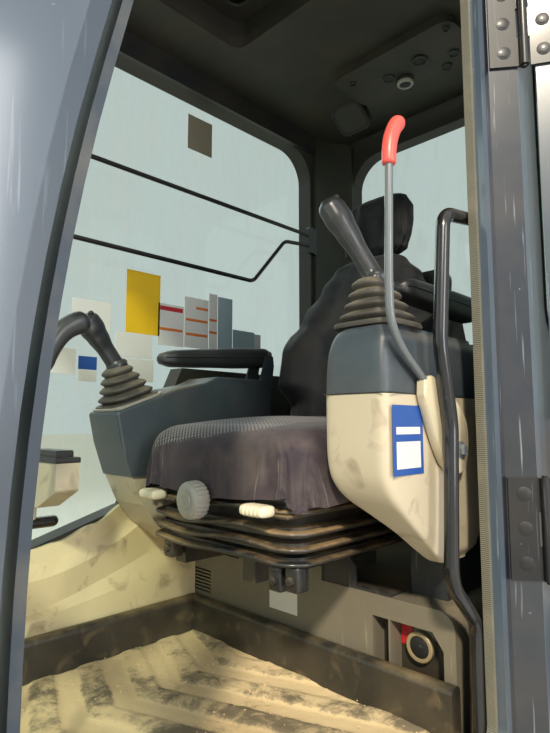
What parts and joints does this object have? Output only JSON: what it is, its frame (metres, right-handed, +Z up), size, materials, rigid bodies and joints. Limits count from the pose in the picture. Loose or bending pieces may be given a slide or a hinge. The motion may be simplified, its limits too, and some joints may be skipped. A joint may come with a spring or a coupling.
{
  "type": "excavator operator cab",
  "caption": "Glazed operator's cab of a crawler excavator, its side door swung right back, with suspension seat, consoles, joysticks, lock lever and grab rail.",
  "frame": {"origin": "middle of the mount bolt pattern, on the underside of the floor frame", "axes": "-Y is the front of the cab, +X the door's side, +Z up"},
  "size_m": [1.2052, 1.8974, 1.8263],
  "materials": {
    "cab_paint": "gloss slate grey",
    "frame_paint": "satin black",
    "mat_rubber": "matt, dusty",
    "window_glass": "clear, dusty",
    "trim_black": "matt",
    "seal_rubber": "ribbed, dusty",
    "hinge_steel": "gloss black",
    "lining_brown": "grained",
    "console_slate": "satin",
    "console_cream": "satin, dusty",
    "pedestal_tan": "dusty",
    "rail_rubber": "dusty",
    "boot_rubber": "dusty folds",
    "grip_plastic": "satin",
    "lever_steel": "satin grey",
    "tube_black": "gloss black",
    "seat_frame": "satin black",
    "knob_cream": "satin",
    "seat_cloth": "woven",
    "back_cloth": "woven, dark",
    "armrest_skin": "grained, dark",
    "side_cream": "satin"
  },
  "bodies": {
    "cab": {"floor_frame": "frame_paint", "floor_mat": "mat_rubber", "left_side_frame": "cab_paint", "right_side_frame": "cab_paint", "roof_panel": "cab_paint", "rear_wall": "cab_paint", "front_frame": "cab_paint", "windscreen_frame": "trim_black", "windscreens": "window_glass", "fixed_windows": "window_glass", "door_seal": "seal_rubber", "pillar_hinges": "hinge_steel", "ceiling_lining": "lining_brown", "window_bands": "trim_black", "overhead_console": "trim_black", "rear_columns": "lining_brown", "rear_deck": "console_slate", "side_trim": "side_cream", "seat_pedestal": "pedestal_tan", "kick_rail": "rail_rubber", "console_stand": "frame_paint", "left_console_upper": "console_slate", "left_console_lower": "console_cream", "right_console_upper": "console_slate", "right_console_lower": "console_cream", "joystick_boots": "boot_rubber", "joysticks": "grip_plastic", "lock_lever": "lever_steel", "handrail": "tube_black", "window_guards": "tube_black", "travel_levers": "seat_frame", "monitor": "console_cream", "wiper": "trim_black"},
    "door": {"door_frame": "cab_paint", "door_panes": "window_glass", "door_handles": "trim_black", "door_hinges": "hinge_steel"},
    "hatch": {"roof_hatch": "cab_paint", "hatch_glass": "window_glass"},
    "seat": {"seat_base": "seat_frame", "seat_bellows": "boot_rubber", "seat_adjusters": "knob_cream", "seat_cushion": "seat_cloth"},
    "backrest": {"seat_backrest": "back_cloth", "headrest": "back_cloth", "back_frame": "seat_frame"},
    "armrest_left": {"armrest_left": "armrest_skin"},
    "armrest_right": {"armrest_right": "armrest_skin"}
  },
  "joints": [
    {"name": "door_swing", "type": "hinge", "parent": "cab", "child": "door", "pos_m": [0.5172, 0.15048, 0.9], "axis": [0, 0, 1], "range_deg": [-172, 0]},
    {"name": "hatch_lift", "type": "hinge", "parent": "cab", "child": "hatch", "pos_m": [0, 0.156, 1.813], "axis": [-1, 0, 0], "range_deg": [0, 60]},
    {"name": "seat_slide", "type": "slide", "parent": "cab", "child": "seat", "axis": [0, 1, 0], "range_m": [-0.02, 0.05]},
    {"name": "backrest_recline", "type": "hinge", "parent": "seat", "child": "backrest", "pos_m": [-0.02, 0.362, 0.56], "axis": [-1, 0, 0], "range_deg": [0, 12]},
    {"name": "armrest_left_tilt", "type": "hinge", "parent": "backrest", "child": "armrest_left", "pos_m": [0.263, 0.412, 0.904], "axis": [-1, 0, 0], "range_deg": [0, 80]},
    {"name": "armrest_right_tilt", "type": "hinge", "parent": "cab", "child": "armrest_right", "pos_m": [-0.316, 0.262, 0.814], "axis": [-1, 0, 0], "range_deg": [0, 80]}
  ]
}
